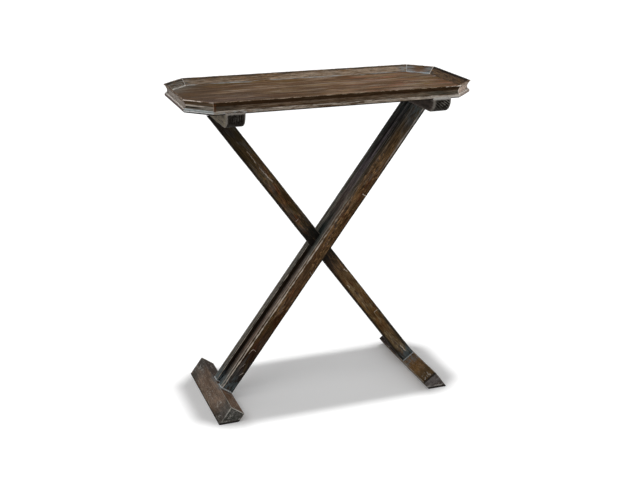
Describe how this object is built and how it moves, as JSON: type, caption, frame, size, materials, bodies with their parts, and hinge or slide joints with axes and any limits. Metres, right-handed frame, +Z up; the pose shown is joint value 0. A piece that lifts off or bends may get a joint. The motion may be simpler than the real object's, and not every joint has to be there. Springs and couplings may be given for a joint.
{
  "type": "drink table",
  "caption": "Small drink table with a clipped-corner tray top in a moulded rim, on crossed wooden legs with bar feet and round-nosed battens.",
  "frame": {"origin": "on the floor, under the middle of the tray", "axes": "+X along the tray's length to the right, +Y from front to back, +Z up"},
  "size_m": [0.5696, 0.255, 0.635],
  "materials": {
    "tray_wood": "dark brown distressed wood, grey-brown wash, satin",
    "leg_wood": "dark brown distressed wood with worn arrises, satin",
    "dowel_wood": "bare hardwood dowel",
    "screw_steel": "plain steel wood screw"
  },
  "bodies": {
    "root": {"tray_panel": "tray_wood", "rim_front": "tray_wood", "rim_back": "tray_wood", "rim_left": "tray_wood", "rim_right": "tray_wood", "rim_front_left": "tray_wood", "rim_front_right": "tray_wood", "rim_back_left": "tray_wood", "rim_back_right": "tray_wood", "batten_left": "leg_wood", "batten_right": "leg_wood", "leg_front_rail": "leg_wood", "leg_rear_rail": "leg_wood", "leg_through_rail": "leg_wood", "foot_left": "leg_wood", "foot_right": "leg_wood", "crossing_pin": "dowel_wood", "dowel_front_rail_foot_lower": "dowel_wood", "dowel_front_rail_foot_upper": "dowel_wood", "dowel_front_rail_batten_inner": "dowel_wood", "dowel_front_rail_batten_outer": "dowel_wood", "dowel_rear_rail_foot_lower": "dowel_wood", "dowel_rear_rail_foot_upper": "dowel_wood", "dowel_rear_rail_batten_inner": "dowel_wood", "dowel_rear_rail_batten_outer": "dowel_wood", "dowel_through_rail_foot_lower": "dowel_wood", "dowel_through_rail_foot_upper": "dowel_wood", "dowel_through_rail_batten_inner": "dowel_wood", "dowel_through_rail_batten_outer": "dowel_wood", "screw_left_front": "screw_steel", "screw_left_back": "screw_steel", "screw_right_front": "screw_steel", "screw_right_back": "screw_steel"}
  },
  "joints": []
}
